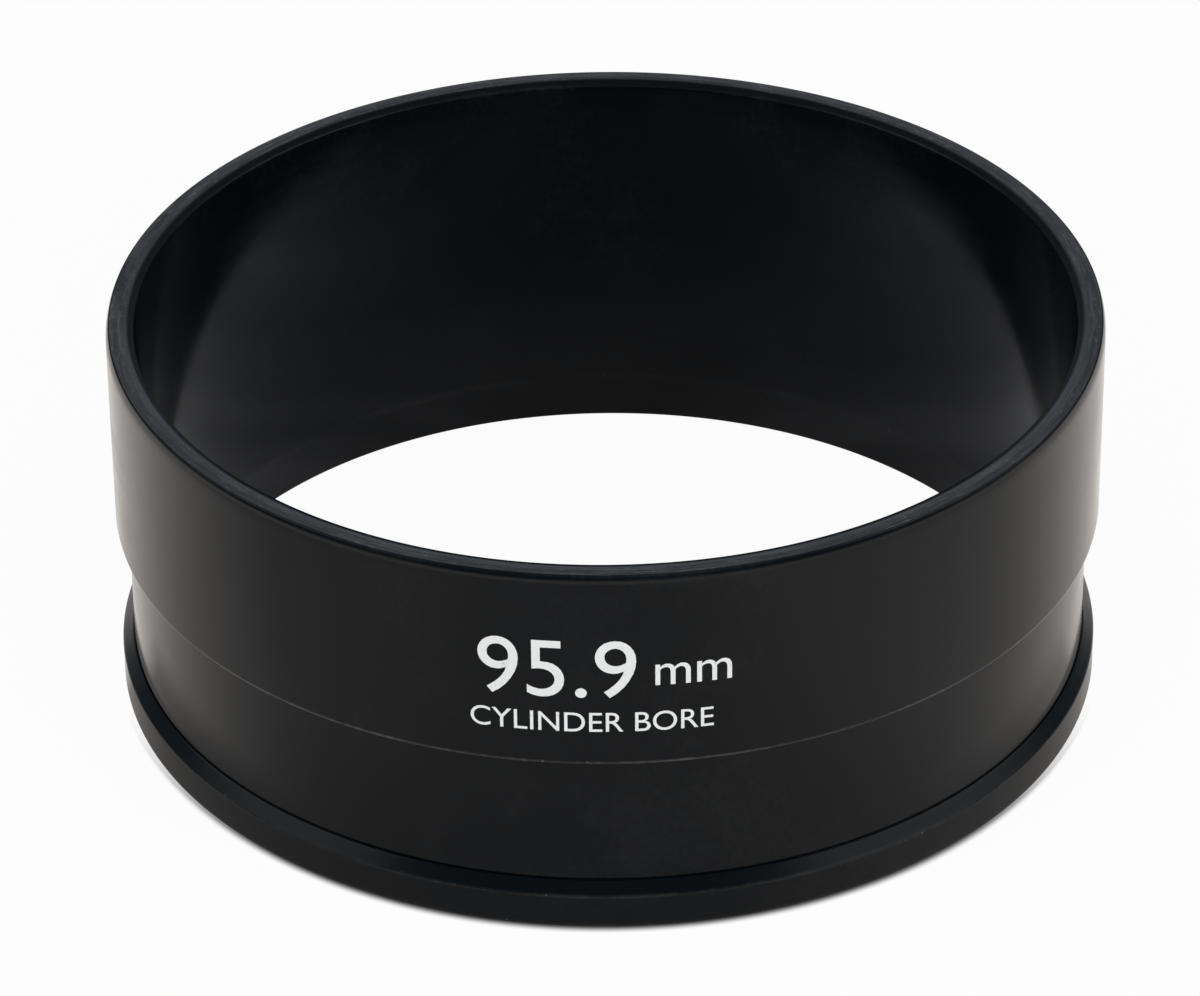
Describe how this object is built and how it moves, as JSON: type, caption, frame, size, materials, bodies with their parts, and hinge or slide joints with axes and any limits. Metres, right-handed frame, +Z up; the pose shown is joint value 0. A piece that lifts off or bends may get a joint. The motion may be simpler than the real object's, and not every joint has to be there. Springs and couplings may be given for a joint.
{
  "type": "piston ring compressor",
  "caption": "Tapered piston ring compressor: a turned black sleeve with a wide mouth, a straight land, a relieved neck and a foot flange, which closes rings as a piston slides into its cylinder.",
  "frame": {"origin": "centre of the foot, on the face that sits on the engine block", "axes": "+Z up along the bore, from the foot to the mouth; X and Y are level and the sleeve is round about +Z"},
  "size_m": [0.1046, 0.1046, 0.0424],
  "materials": {
    "black_anodised": "satin black anodised over fine turning marks"
  },
  "bodies": {
    "root": {"compressor_sleeve": "black_anodised"}
  },
  "joints": []
}
